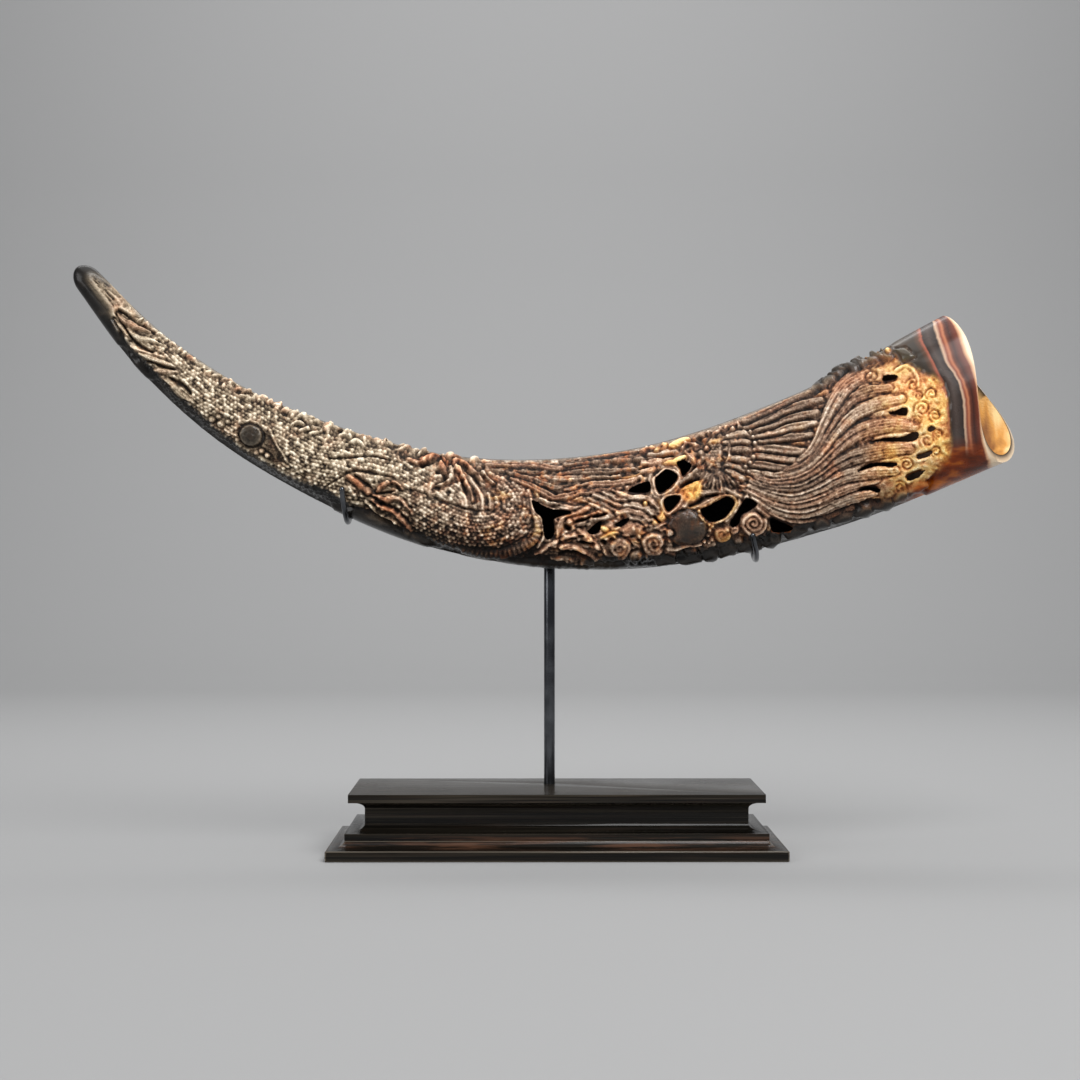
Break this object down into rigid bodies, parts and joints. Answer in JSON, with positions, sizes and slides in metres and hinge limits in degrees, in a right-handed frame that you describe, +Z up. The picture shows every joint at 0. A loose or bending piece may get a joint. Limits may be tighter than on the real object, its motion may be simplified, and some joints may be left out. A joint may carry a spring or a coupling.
{
  "type": "engraved horn",
  "caption": "Hollow animal horn with pierced relief carving along one side, resting in the hooked arms of a slim post on a moulded wooden base.",
  "frame": {"origin": "middle of the base's underside, on the surface it stands on", "axes": "+Z up, +X along the base from the horn's tip towards its mouth, -Y towards the side the carving faces"},
  "size_m": [0.5125, 0.099, 0.3168],
  "materials": {
    "horn": "carved and hand polished horn, worn pale on the ridges",
    "base_wood": "black stained and waxed hardwood",
    "steel": "satin black paint on steel rod"
  },
  "bodies": {
    "root": {"horn": "horn", "base_plinth": "base_wood", "base_step": "base_wood", "base_neck": "base_wood", "base_top": "base_wood", "post": "steel", "arm_left": "steel", "arm_right": "steel"}
  },
  "joints": []
}
